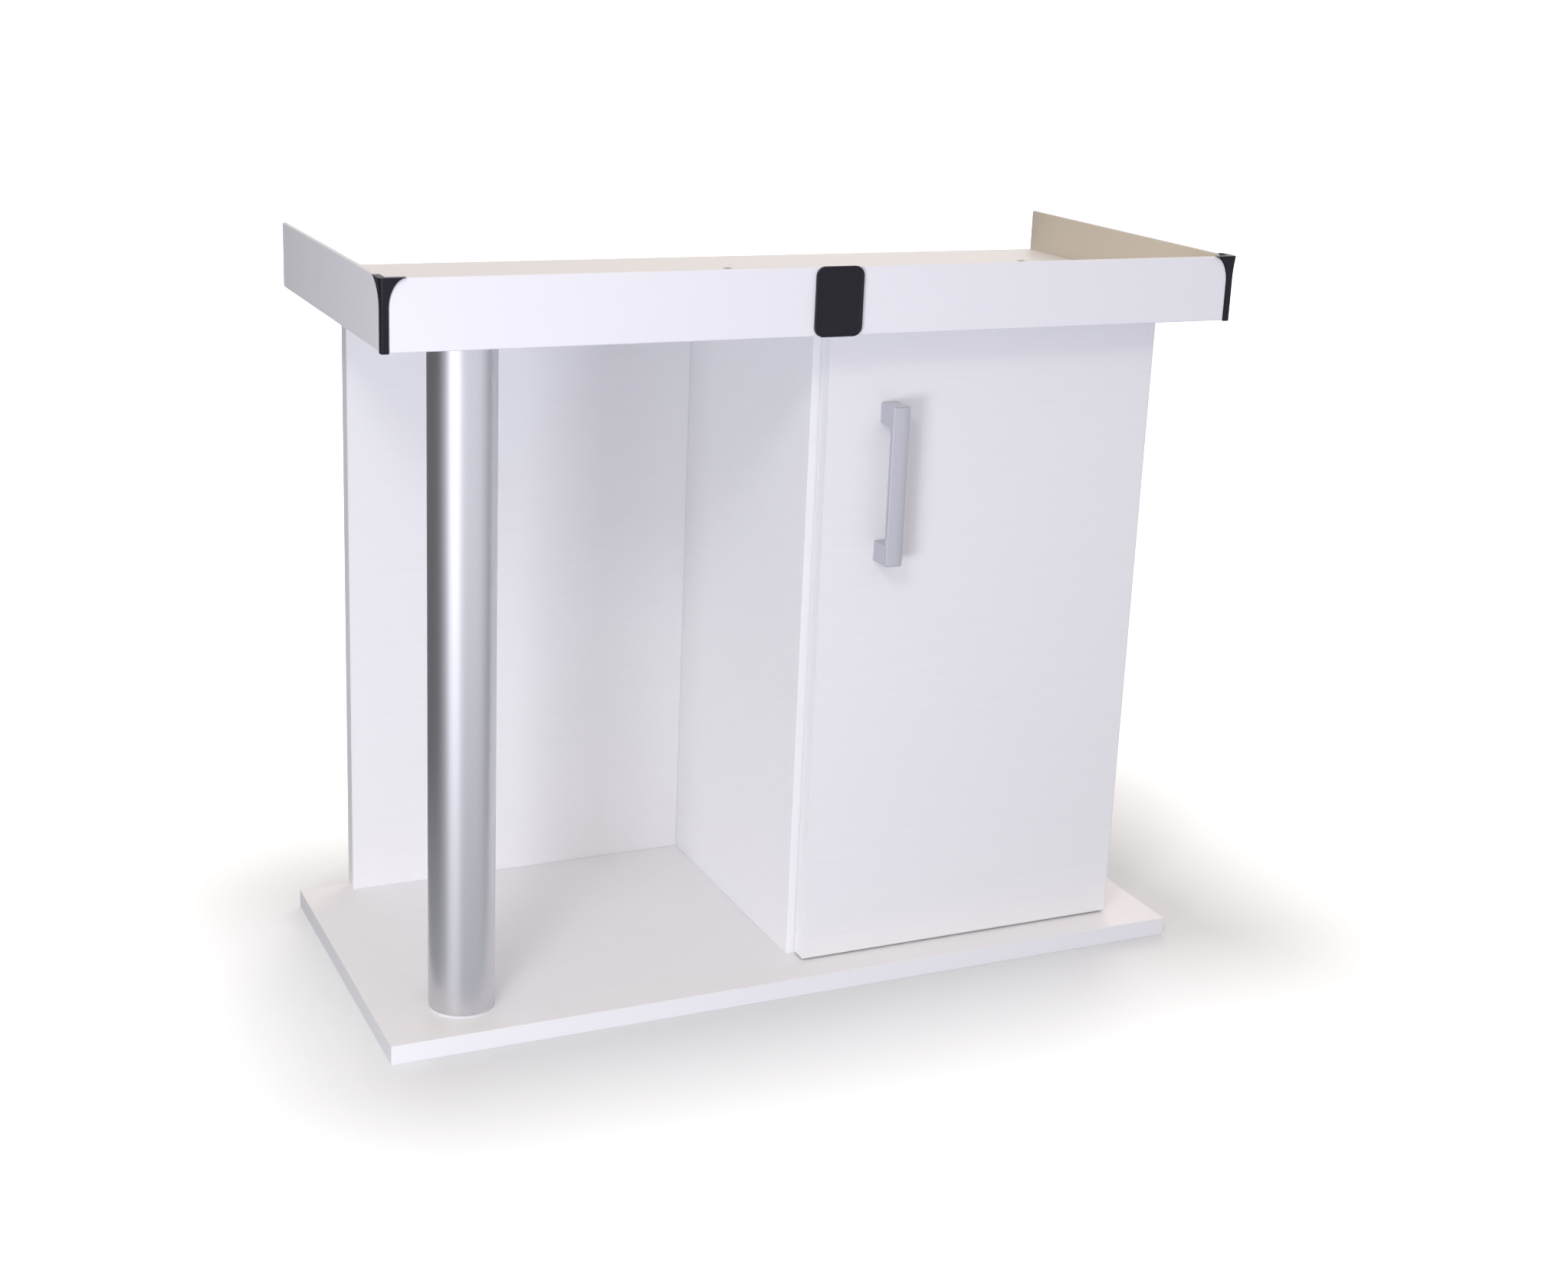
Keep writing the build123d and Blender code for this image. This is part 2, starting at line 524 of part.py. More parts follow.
with BuildPart() as left_corner:
    with BuildSketch(Plane.XZ.offset(-FRONT)):
        with BuildLine():
            splay_line(LEFT)
            EllipticalCenterArc(
                (LEFT + CORNER_LAP + CURVE_WIDTH, CURVE_BASE),
                CURVE_WIDTH,
                CURVE_HEIGHT + CORNER_OVER,
                90,
                arc_size=90,
            )
            Polyline(
                (LEFT + CORNER_LAP, CURVE_BASE),
                (LEFT + CORNER_LAP, TRIM_BOTTOM - CORNER_OVER),
                (LEFT - TRIM - CORNER_SKIN, TRIM_BOTTOM - CORNER_OVER),
            )
            Line(
                (LEFT - TRIM - CORNER_SKIN - CORNER_FLARE, TRIM_TOP + CORNER_OVER),
                (LEFT + CORNER_LAP + CURVE_WIDTH, TRIM_TOP + CORNER_OVER),
            )
        make_face()
    extrude(amount=TRIM + CORNER_SKIN + CORNER_FLARE)
    with BuildSketch(Plane.YZ.offset(LEFT - 10)):
        with BuildLine():
            splay_line(FRONT)
            Polyline(
                (FRONT - TRIM - CORNER_SKIN - CORNER_FLARE, TRIM_TOP + CORNER_OVER),
                (FRONT, TRIM_TOP + CORNER_OVER),
                (FRONT, TRIM_BOTTOM - CORNER_OVER),
                (FRONT - TRIM - CORNER_SKIN, TRIM_BOTTOM - CORNER_OVER),
            )
        make_face()
    extrude(amount=10 + CORNER_LAP + CURVE_WIDTH, mode=Mode.INTERSECT)
    mirror(about=Plane(origin=(LEFT, FRONT, 0), z_dir=(1, -1, 0)))
    ridge = left_corner.edges().filter_by(
        lambda edge: edge.center().X < LEFT - TRIM - 1 and edge.center().Y < FRONT - TRIM - 1
    )
    fillet(ridge, CORNER_RIDGE)

with BuildPart() as right_corner:
    mirror(left_corner.part, about=Plane.YZ)

with BuildPart() as badge_plate:
    with BuildSketch(Plane.XZ.offset(-FRONT + TRIM)):
        with Locations((BADGE_X, TRIM_MID)):
            RectangleRounded(BADGE[0], BADGE[1], BADGE_ROUND)
    extrude(amount=BADGE[2])
    fillet(badge_plate.faces().sort_by(Axis.Y)[0].edges(), 0.8)

# ---------------------------------------------------------------- export
PIECES = {
    "base_board": base_board,
    "top_board": top_board,
    "back_panel": back_panel,
    "partition": partition,
    "side_panel": side_panel,
    "top_screws": top_screws,
    "base_screws": base_screws,
    "partition_screws": partition_screws,
    "joint_dowels": joint_dowels,
    "cupboard_back": cupboard_back,
    "back_nails": back_nails,
    "shelf": shelf,
    "shelf_pins": shelf_pins,
    "catch_body": catch_body,
    "catch_magnet": catch_magnet,
    "catch_screws": catch_screws,
    "door": door,
    "handle": handle,
    "handle_screws": handle_screws,
    "strike_plate": strike_plate,
    "strike_screw": strike_screw,
    "door_bumpers": door_bumpers,
    "board_leaves": board_leaves,
    "board_leaf_screws": board_leaf_screws,
    "pivot_pins": pivot_pins,
    "pivot_washers": pivot_washers,
    "door_leaves": door_leaves,
    "door_leaf_screws": door_leaf_screws,
    "leg_tube": leg_tube,
    "leg_foot": leg_foot,
    "leg_head": leg_head,
    "leg_screws": leg_screws,
    "front_trim": front_trim,
    "left_trim": left_trim,
    "right_trim": right_trim,
    "left_corner": left_corner,
    "right_corner": right_corner,
    "badge_plate": badge_plate,
}
for name, piece in PIECES.items():
    piece.part.label = name
    export_step(piece.part, f"parts/{name}.step")
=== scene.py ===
import json
import math

import bmesh
import bpy
from mathutils import Matrix, Vector


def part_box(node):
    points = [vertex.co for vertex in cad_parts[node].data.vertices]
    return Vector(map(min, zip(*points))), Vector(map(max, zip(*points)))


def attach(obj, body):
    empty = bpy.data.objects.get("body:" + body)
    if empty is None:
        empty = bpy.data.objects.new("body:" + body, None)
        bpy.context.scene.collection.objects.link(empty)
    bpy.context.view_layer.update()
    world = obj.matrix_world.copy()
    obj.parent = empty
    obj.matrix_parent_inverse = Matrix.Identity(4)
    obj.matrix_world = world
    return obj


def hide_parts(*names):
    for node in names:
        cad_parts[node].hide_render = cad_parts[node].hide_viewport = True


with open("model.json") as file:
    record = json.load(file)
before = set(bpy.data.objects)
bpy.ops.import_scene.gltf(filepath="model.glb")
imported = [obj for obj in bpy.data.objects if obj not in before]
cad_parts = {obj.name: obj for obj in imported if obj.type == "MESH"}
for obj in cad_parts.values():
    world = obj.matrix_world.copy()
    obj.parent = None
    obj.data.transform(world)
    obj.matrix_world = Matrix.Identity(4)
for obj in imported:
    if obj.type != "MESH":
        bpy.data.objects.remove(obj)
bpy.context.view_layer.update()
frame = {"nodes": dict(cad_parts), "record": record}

scene = bpy.context.scene

MM = 0.001
ALONG_X, ALONG_Y, ALONG_Z = range(3)
SLOT_OF = {row["node"]: row["material_slot"] for row in frame["record"]["subparts"]}
BODIES = frame["record"]["behaviour"]["bodies"]
BODY_OF = {node: body for body, nodes in BODIES.items() for node in nodes}


# ---------------------------------------------------------------- shader helpers
class Shader:
    """A node tree under construction: short names for the nodes that the materials use."""

    def __init__(self, tree):
        self.tree = tree

    def node(self, kind, **inputs):
        """A new node, with its inputs named as on the node (_ for a space)."""
        made = self.tree.nodes.new(kind)
        for key, value in inputs.items():
            self.feed(made, key.replace("_", " "), value)
        return made

    def feed(self, made, key, value):
        """Link an output to a node's input, or set the input to a plain value."""
        socket = made.inputs[key]
        if isinstance(value, bpy.types.NodeSocket):
            self.tree.links.new(value, socket)
        else:
            socket.default_value = value

    def math(self, operation, a, b=0.0):
        made = self.node("ShaderNodeMath")
        made.operation = operation
        self.feed(made, 0, a)
        self.feed(made, 1, b)
        return made.outputs[0]

    def vector(self, operation, a, b=None):
        """Vector maths. A length and a dot product are numbers, anything else is a vector."""
        made = self.node("ShaderNodeVectorMath")
        made.operation = operation
        self.feed(made, 0, a)
        if b is not None:
            self.feed(made, "Scale" if operation == "SCALE" else 1, b)
        return made.outputs["Value" if operation in ("LENGTH", "DOT_PRODUCT") else "Vector"]

    def place(self):
        """Where the point is in the object, in metres."""
        return self.node("ShaderNodeTexCoord").outputs["Object"]

    def facing(self, axis):
        """How far the surface faces along one of the object's axes, from -1 to 1."""
        split = self.node("ShaderNodeSeparateXYZ")
        self.feed(split, 0, self.node("ShaderNodeTexCoord").outputs["Normal"])
        return split.outputs[axis]

    def noise(self, vector, scale, detail=3.0, roughness=0.5):
        made = self.node("ShaderNodeTexNoise", Scale=scale, Detail=detail, Roughness=roughness)
        self.feed(made, "Vector", vector)
        return made.outputs["Fac"]

    def lines(self, axis, along, across, scale, detail, roughness):
        """Noise drawn out along one axis: a small factor along it, a large one across it."""
        factors = [across, across, across]
        factors[axis] = along
        return self.noise(self.vector("MULTIPLY", self.place(), factors), scale, detail, roughness)

    def remap(self, value, low, high, to_low, to_high):
        made = self.node("ShaderNodeMapRange", From_Min=low, From_Max=high, To_Min=to_low, To_Max=to_high)
        self.feed(made, "Value", value)
        return made.outputs["Result"]

    def spread(self, noise, to_low, to_high):
        """A noise, which stays mostly between 0.3 and 0.7, spread over a range of its own."""
        return self.remap(noise, 0.3, 0.7, to_low, to_high)

    def blend(self, factor, a, b):
        made = self.node("ShaderNodeMix")
        made.data_type = "RGBA"
        self.feed(made, 0, factor)
        self.feed(made, 6, a)
        self.feed(made, 7, b)
        return made.outputs[2]

    def bump(self, height, distance, strength=1.0):
        made = self.node("ShaderNodeBump", Strength=strength, Distance=distance)
        self.feed(made, "Height", height)
        return made.outputs["Normal"]


def new_material(name):
    """A node material, its shader helper and its Principled shader."""
    made = bpy.data.materials.new(name)
    made.use_nodes = True
    return made, Shader(made.node_tree), made.node_tree.nodes["Principled BSDF"]


def glow_material(name, colour):
    """A material that only shines, its shader helper and its emission node."""
    made = bpy.data.materials.new(name)
    made.use_nodes = True
    made.node_tree.nodes.clear()
    s = Shader(made.node_tree)
    glow = s.node("ShaderNodeEmission", Color=colour)
    s.feed(s.node("ShaderNodeOutputMaterial"), "Surface", glow.outputs[0])
    return made, s, glow


def rgb(r, g, b):
    return (r, g, b, 1.0)


def darker(colour, share):
    return tuple(channel * share for channel in colour[:3]) + (1.0,)


# ---------------------------------------------------------------- materials
WHITE = rgb(0.880, 0.878, 0.888)
WHITE_DEEP = rgb(0.862, 0.860, 0.870)
BAND_WHITE = rgb(0.880, 0.878, 0.890)
SEAM = rgb(0.60, 0.60, 0.61)
TRIM_WHITE = rgb(0.884, 0.884, 0.912)
TRIM_WHITE_DEEP = rgb(0.876, 0.876, 0.904)
CREAM = rgb(0.83, 0.765, 0.65)
CREAM_DEEP = rgb(0.81, 0.745, 0.632)
FIBRE_DARK = rgb(0.23, 0.145, 0.085)
FIBRE_PALE = rgb(0.36, 0.245, 0.155)
BEECH_DARK = rgb(0.42, 0.27, 0.15)
BEECH_PALE = rgb(0.68, 0.50, 0.32)
BAND = 0.8 * MM  # thickness of the edge banding
SEAM_CORE = 0.04 * MM  # the seam is full this near its middle, and gone at SEAM_END
SEAM_END = 0.12 * MM


def board_material(node, grain):
    """Faced board: faint pressed grain on the faces, plain edge banding, a fine seam between them."""
    low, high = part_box(node)
    size = high - low
    thin = min(range(3), key=lambda axis: size[axis])
    made, s, principled = new_material(f"board_{node}")
    on_face = s.math("GREATER_THAN", s.math("ABSOLUTE", s.facing(thin)), 0.9)

    split = s.node("ShaderNodeSeparateXYZ")
    s.feed(split, 0, s.place())
    edge = None
    for axis in range(3):
        if axis == thin:
            continue
        for side in (low[axis], high[axis]):
            away = s.math("ABSOLUTE", s.math("SUBTRACT", split.outputs[axis], side))
            edge = away if edge is None else s.math("MINIMUM", edge, away)
    off_seam = s.math("ABSOLUTE", s.math("SUBTRACT", edge, BAND))
    seam = s.math("MULTIPLY", s.remap(off_seam, SEAM_CORE, SEAM_END, 1.0, 0.0), on_face)

    streaks = s.lines(grain, 0.35, 9.0, 34.0, 4.0, 0.62)
    fine = s.lines(grain, 1.75, 45.0, 60.0, 2.0, 0.5)
    pores = s.math("ADD", s.math("MULTIPLY", streaks, 0.65), s.math("MULTIPLY", fine, 0.35))
    face = s.blend(s.remap(pores, 0.36, 0.64, 0.0, 1.0), WHITE_DEEP, WHITE)
    colour = s.blend(on_face, BAND_WHITE, face)
    s.feed(principled, "Base Color", s.blend(s.math("MULTIPLY", seam, 0.6), colour, SEAM))
    smudge = s.noise(s.place(), 5.0, 3.0, 0.6)
    s.feed(principled, "Roughness", s.spread(smudge, 0.34, 0.46))
    height = s.math("SUBTRACT", s.math("MULTIPLY", pores, on_face), s.math("MULTIPLY", seam, 2.0))
    s.feed(principled, "Normal", s.bump(height, 0.06 * MM, 0.6))
    principled.inputs["Specular IOR Level"].default_value = 0.45
    return made


def plastic_material(name, colour, smooth, rough, grain_scale, grain_depth, shine=0.5):
    """Moulded plastic: a fine skin with a slow drift in gloss and tone."""
    made, s, principled = new_material(name)
    drift = s.noise(s.place(), 14.0, 3.0, 0.55)
    s.feed(principled, "Base Color", s.blend(s.spread(drift, 0.0, 1.0), darker(colour, 0.94), colour))
    s.feed(principled, "Roughness", s.spread(drift, smooth, rough))
    skin = s.noise(s.place(), grain_scale, 2.0, 0.5)
    s.feed(principled, "Normal", s.bump(skin, grain_depth, 0.5))
    principled.inputs["Specular IOR Level"].default_value = shine
    return made


def trim_material(name, axis, inward):
    """White strip, cream and rougher on the side that faces inwards along the axis."""
    made, s, principled = new_material(name)
    inner = s.math("GREATER_THAN", s.math("MULTIPLY", s.facing(axis), float(inward)), 0.7)
    drift = s.spread(s.noise(s.place(), 14.0, 3.0, 0.55), 0.0, 1.0)
    white = s.blend(drift, TRIM_WHITE_DEEP, TRIM_WHITE)
    cream = s.blend(drift, CREAM_DEEP, CREAM)
    s.feed(principled, "Base Color", s.blend(inner, white, cream))
    skin = s.noise(s.place(), 900.0, 2.0, 0.5)
    gloss = s.spread(skin, 0.29, 0.33)
    s.feed(principled, "Roughness", s.math("ADD", gloss, s.math("MULTIPLY", inner, 0.15)))
    s.feed(principled, "Normal", s.bump(skin, 0.006 * MM, 0.4))
    return made


def metal_material(name, colour, roughness, along, depth):
    """Drawn or brushed metal: fine lines that run along one axis."""
    made, s, principled = new_material(name)
    lines = s.lines(along, 1.2, 60.0, 40.0, 3.0, 0.6)
    drift = s.noise(s.place(), 9.0, 2.0, 0.5)
    s.feed(principled, "Base Color", s.blend(s.spread(lines, 0.0, 1.0), darker(colour, 0.97), colour))
    worn = s.math("ADD", s.spread(lines, -0.015, 0.015), s.spread(drift, -0.01, 0.01))
    s.feed(principled, "Roughness", s.math("ADD", worn, roughness))
    s.feed(principled, "Normal", s.bump(lines, depth, 0.5))
    principled.inputs["Metallic"].default_value = 1.0
    return made


def hardboard_material():
    """Thin hardboard: white lacquer towards the cupboard, plain brown fibre on its rear."""
    made, s, principled = new_material("hardboard")
    lacquer = s.math("LESS_THAN", s.facing(ALONG_Y), -0.5)
    fibre = s.noise(s.place(), 420.0, 5.0, 0.7)
    cloud = s.noise(s.place(), 18.0, 3.0, 0.5)
    mottle = s.math("ADD", s.math("MULTIPLY", fibre, 0.7), s.math("MULTIPLY", cloud, 0.3))
    brown = s.blend(s.remap(mottle, 0.35, 0.65, 0.0, 1.0), FIBRE_DARK, FIBRE_PALE)
    s.feed(principled, "Base Color", s.blend(lacquer, brown, WHITE))
    s.feed(principled, "Roughness", s.remap(lacquer, 0.0, 1.0, 0.75, 0.4))
    s.feed(principled, "Normal", s.bump(fibre, 0.1 * MM, 0.5))
    return made


def wood_material():
    """Turned beech: short flecks along the grain."""
    made, s, principled = new_material("beech")
    flecks = s.lines(ALONG_Z, 5.0, 30.0, 25.0, 4.0, 0.6)
    s.feed(principled, "Base Color", s.blend(flecks, BEECH_DARK, BEECH_PALE))
    principled.inputs["Roughness"].default_value = 0.6
    s.feed(principled, "Normal", s.bump(flecks, 0.05 * MM))
    return made


def slot_materials():
    """One material for each of the record's slots, apart from the boards and the trims."""
    black = rgb(0.009, 0.008, 0.015)
    leg = rgb(0.72, 0.725, 0.76)
    handle = rgb(0.615, 0.62, 0.67)
    zinc = rgb(0.56, 0.56, 0.58)
    nickel = rgb(0.52, 0.51, 0.50)
    pale = rgb(0.80, 0.80, 0.80)
    grey = rgb(0.74, 0.74, 0.77)
    ferrite = rgb(0.06, 0.06, 0.065)
    rubber = rgb(0.62, 0.62, 0.60)
    return {
        "black_plastic": plastic_material("black_gloss", black, 0.16, 0.26, 700.0, 0.02 * MM, 0.25),
        "leg_metal": metal_material("leg_satin", leg, 0.33, ALONG_Z, 0.002 * MM),
        "handle_metal": metal_material("handle_satin", handle, 0.36, ALONG_Z, 0.008 * MM),
        "screw_steel": metal_material("zinc", zinc, 0.3, ALONG_X, 0.02 * MM),
        "hinge_steel": metal_material("nickel", nickel, 0.3, ALONG_X, 0.02 * MM),
        "dowel_wood": wood_material(),
        "hardboard": hardboard_material(),
        "fitting_plastic": plastic_material("fitting", pale, 0.45, 0.55, 600.0, 0.03 * MM),
        "leg_plug_plastic": plastic_material("plug", grey, 0.4, 0.5, 600.0, 0.03 * MM),
        "magnet": plastic_material("ferrite", ferrite, 0.45, 0.6, 900.0, 0.05 * MM),
        "bumper_rubber": plastic_material("bumper", rubber, 0.3, 0.4, 300.0, 0.02 * MM),
    }


BOARD_GRAIN = {
    "base_board": ALONG_X,
    "top_board": ALONG_X,
    "back_panel": ALONG_X,
    "partition": ALONG_Y,
    "side_panel": ALONG_Y,
    "shelf": ALONG_X,
    "door": ALONG_X,
}
TRIMS = ("front_trim", "left_trim", "right_trim")  # replaced below, each with a material of its own
SLOTS = slot_materials()
for name, node in frame["nodes"].items():
    if name in TRIMS:
        continue
    finish = board_material(name, BOARD_GRAIN[name]) if name in BOARD_GRAIN else SLOTS[SLOT_OF[name]]
    for slot in node.material_slots:
        slot.material = finish


# ---------------------------------------------------------------- mesh helpers
SAME_POINT = 1e-7


def add_object(name, bm, material):
    """Turn the mesh into an object with one material."""
    data = bpy.data.meshes.new(name)
    bm.to_mesh(data)
    bm.free()
    data.materials.append(material)
    made = bpy.data.objects.new(name, data)
    scene.collection.objects.link(made)
    return made


def finish_piece(name, bm, node, sharp=35.0, material=None):
    """Make the piece that stands for a CAD node: same body, same slot, smooth with crisp corners."""
    bmesh.ops.remove_doubles(bm, verts=bm.verts, dist=SAME_POINT)
    bmesh.ops.recalc_face_normals(bm, faces=bm.faces)
    limit = math.radians(sharp)
    for face in bm.faces:
        face.smooth = True
    for edge in bm.edges:
        edge.smooth = len(edge.link_faces) == 2 and edge.calc_face_angle(0.0) < limit
    piece = add_object(name, bm, material or SLOTS[SLOT_OF[node]])
    weighted = piece.modifiers.new("weighted", "WEIGHTED_NORMAL")
    weighted.keep_sharp = True
    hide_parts(node)
    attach(piece, BODY_OF[node])


def loft(bm, loops):
    """Skin a row of closed vertex loops of equal length."""
    rings = [[bm.verts.new(point) for point in loop] for loop in loops]
    count = len(rings[0])
    for a, b in zip(rings, rings[1:]):
        for i in range(count):
            j = (i + 1) % count
            bm.faces.new((a[i], a[j], b[j], b[i]))
    return rings


def solid(loops):
    """A mesh of the skinned loops, closed at both ends."""
    bm = bmesh.new()
    rings = loft(bm, loops)
    bm.faces.new(rings[0])
    bm.faces.new(rings[-1])
    return bm


def lathe(bm, profile, centre, steps):
    """Turn (radius, height) points round an upright axis."""
    loops = []
    for radius, height in profile:
        ring = []
        for step in range(steps):
            angle = 2 * math.pi * step / steps
            ring.append((centre.x + radius * math.cos(angle), centre.y + radius * math.sin(angle), height))
        loops.append(ring)
    return loft(bm, loops)


def inset(points, distance):
    """Move every side of a closed outline inwards (for an outline that runs counter-clockwise)."""
    moved = []
    count = len(points)
    for i, here in enumerate(points):
        before = (here - points[i - 1]).normalized()
        after = (points[(i + 1) % count] - here).normalized()
        normal_a = Vector((-before.y, before.x))
        normal_b = Vector((-after.y, after.x))
        bisector = normal_a + normal_b
        moved.append(here + bisector * (distance / (1.0 + normal_a.dot(normal_b))))
    return moved


def arc(centre, radius_x, radius_y, start, end, steps=20):
    """Points along an elliptic arc, angles in degrees."""
    points = []
    for step in range(steps + 1):
        angle = math.radians(start + (end - start) * step / steps)
        x = centre[0] + radius_x * math.cos(angle)
        y = centre[1] + radius_y * math.sin(angle)
        points.append(Vector((x, y)))
    return points


def quarter_round(radius, steps):
    """A rounded edge in steps: how far each is drawn in from the side, and how far it is below the top."""
    for step in range(steps + 1):
        angle = math.pi / 2 * step / steps
        yield radius * (1 - math.cos(angle)), radius * (1 - math.sin(angle))


def rounded_outline(corners, steps=6):
    """A closed outline with each corner (x, y, radius) rounded."""
    points = []
    count = len(corners)
    for i, (x, y, radius) in enumerate(corners):
        here = Vector((x, y))
        if radius <= 0:
            points.append(here)
            continue
        before = (Vector(corners[i - 1][:2]) - here).normalized()
        after = (Vector(corners[(i + 1) % count][:2]) - here).normalized()
        half = before.angle(after) / 2
        reach = radius / math.tan(half)
        start = here + before * reach
        end = here + after * reach
        centre = here + (before + after).normalized() * (radius / math.sin(half))
        first = start - centre
        turn = first.angle_signed(end - centre)
        for step in range(steps + 1):
            points.append(centre + Matrix.Rotation(-turn * step / steps, 2) @ first)
    return points


def rounded_plate(outline, thickness, radius, place, steps=4):
    """A plate with rounded rims. place(u, v, depth) gives the point; depth runs from back to front."""
    levels = [(below, drawn_in) for drawn_in, below in quarter_round(radius, steps)]
    levels += [(drawn_in, thickness - below) for drawn_in, below in quarter_round(radius, steps)]
    return solid([[place(p.x, p.y, depth) for p in inset(outline, in_by)] for in_by, depth in levels])


# ---------------------------------------------------------------- leg
tube_low, tube_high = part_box("leg_tube")
tube_centre = (tube_low + tube_high) / 2
TUBE_WALL = 1.5 * MM
TUBE_LIP = 0.35 * MM  # broken edge at both ends
TUBE_STEPS = 128
outer = (tube_high.x - tube_low.x) / 2
bore = outer - TUBE_WALL
tube_profile = [
    (bore, tube_low.z),
    (outer - TUBE_LIP, tube_low.z),
    (outer, tube_low.z + TUBE_LIP),
    (outer, tube_high.z - TUBE_LIP),
    (outer - TUBE_LIP, tube_high.z),
    (bore, tube_high.z),
    (bore, tube_low.z),
]
bm = bmesh.new()
lathe(bm, tube_profile, tube_centre, TUBE_STEPS)
finish_piece("leg_tube_wall", bm, "leg_tube", 60.0)

# ---------------------------------------------------------------- rim trims
trim_low, trim_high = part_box("front_trim")
side_low, side_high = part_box("left_trim")
TRIM = trim_high.y - trim_low.y
TRIM_ROUND = 1.3 * MM
REAR_ROUND = 2.5 * MM
CURVE_WIDTH = 15 * MM  # quarter ellipse cut from the trims' front top corners
CURVE_HEIGHT = 24 * MM
curve_base = trim_high.z - CURVE_HEIGHT


def corner_curve(x, start, end):
    return arc((x, curve_base), CURVE_WIDTH, CURVE_HEIGHT, start, end)


front_outline = [Vector((trim_low.x, trim_low.z)), Vector((trim_high.x, trim_low.z))]
front_outline += corner_curve(trim_high.x - CURVE_WIDTH, 0, 90)
front_outline += corner_curve(trim_low.x + CURVE_WIDTH, 90, 180)
bm = rounded_plate(front_outline, TRIM, TRIM_ROUND, lambda u, v, d: (u, trim_high.y - d, v))
front_finish = trim_material("front_strip", ALONG_Y, 1)
finish_piece("front_trim_strip", bm, "front_trim", material=front_finish)

side_outline = rounded_outline(
    [
        (side_low.y, side_low.z, 0),
        (side_high.y, side_low.z, REAR_ROUND),
        (side_high.y, side_high.z, REAR_ROUND),
        (side_low.y + CURVE_WIDTH, side_high.z, 0),
    ]
)
side_outline += corner_curve(side_low.y + CURVE_WIDTH, 90, 180)[1:]
for node, side in (("left_trim", -1), ("right_trim", 1)):
    low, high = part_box(node)
    inner = high.x if side < 0 else low.x
    bm = rounded_plate(side_outline, TRIM, TRIM_ROUND, lambda u, v, d: (inner + side * d, u, v))
    side_finish = trim_material(f"{node}_strip", ALONG_X, -side)
    finish_piece(f"{node}_strip", bm, node, material=side_finish)

# ---------------------------------------------------------------- corner pieces
corner_low, corner_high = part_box("left_corner")
board_corner = Vector((side_high.x, trim_high.y))
CORNER_LAP = side_low.y - board_corner.y
FLARE = 1.8 * MM  # how far the top splays out
FLARE_POWER = 1.6
RIDGE = 2.0 * MM  # radius of the outer ridge, low down and at the top
RIDGE_TOP = 4.5 * MM
TIP_ROUND = 0.35 * MM
HEEL_ROUND = 0.15 * MM
INNER_ROUND = 0.1 * MM
LIP = 0.5 * MM
LIP_STEPS = 4
SHAFT_STEPS = 8
HORN_STEPS = 28
corner_out = board_corner.x - corner_low.x - FLARE


def corner_section(z, shrink):
    """Outline of a corner piece at one height, from the corner of the top board outwards."""
    rise = max(0.0, (z - curve_base) / (corner_high.z - curve_base))
    out = corner_out + FLARE * rise**FLARE_POWER - shrink
    reach = CORNER_LAP + CURVE_WIDTH * (1 - math.sqrt(max(0.0, 1 - rise**2))) - shrink
    ridge = RIDGE + (RIDGE_TOP - RIDGE) * rise
    corners = [
        (-out, -out, ridge),
        (reach, -out, TIP_ROUND),
        (reach, -shrink, HEEL_ROUND),
        (-shrink, -shrink, INNER_ROUND),
        (-shrink, reach, HEEL_ROUND),
        (-out, reach, TIP_ROUND),
    ]
    return rounded_outline(corners)


def corner_levels():
    """Heights and how much each level is drawn in, so that both ends have a rounded lip."""
    lip = list(quarter_round(LIP, LIP_STEPS))
    shaft_base = corner_low.z + LIP
    horn_top = corner_high.z - LIP
    levels = [(corner_low.z + above, drawn_in) for above, drawn_in in lip]
    for step in range(1, SHAFT_STEPS + 1):
        levels.append((shaft_base + (curve_base - shaft_base) * step / SHAFT_STEPS, 0.0))
    for step in range(1, HORN_STEPS + 1):
        levels.append((curve_base + (horn_top - curve_base) * step / HORN_STEPS, 0.0))
    levels += [(corner_high.z - below, drawn_in) for drawn_in, below in lip[1:]]
    return levels


for node, side in (("left_corner", -1), ("right_corner", 1)):
    loops = []
    for z, shrink in corner_levels():
        section = corner_section(z, shrink)
        loops.append([(side * (-board_corner.x - p.x), board_corner.y + p.y, z) for p in section])
    finish_piece(f"{node}_cap", solid(loops), node, 50.0)

# ---------------------------------------------------------------- badge plate, left blank
badge_low, badge_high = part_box("badge_plate")
BADGE_ROUND = 8.5 * MM
BADGE_RIM = 0.8 * MM
PANEL_IN = 2.4 * MM  # the sunk panel: its margin, its depth and the width of its slope
PANEL_DEEP = 0.35 * MM
PANEL_SLOPE = 0.3 * MM
badge_thick = badge_high.y - badge_low.y
badge_outline = rounded_outline(
    [
        (badge_low.x, badge_low.z, BADGE_ROUND),
        (badge_high.x, badge_low.z, BADGE_ROUND),
        (badge_high.x, badge_high.z, BADGE_ROUND),
        (badge_low.x, badge_high.z, BADGE_ROUND),
    ],
    16,
)
levels = [(0.0, 0.0)]
levels += [(drawn_in, badge_thick - below) for drawn_in, below in quarter_round(BADGE_RIM, 6)]
levels += [
    (PANEL_IN - 0.5 * MM, badge_thick),
    (PANEL_IN - PANEL_SLOPE, badge_thick - 0.1 * MM),
    (PANEL_IN, badge_thick - PANEL_DEEP),
    (PANEL_IN + PANEL_SLOPE, badge_thick - PANEL_DEEP),
]
bm = solid([[(p.x, badge_high.y - d, p.y) for p in inset(badge_outline, i)] for i, d in levels])
finish_piece("blank_badge", bm, "badge_plate")

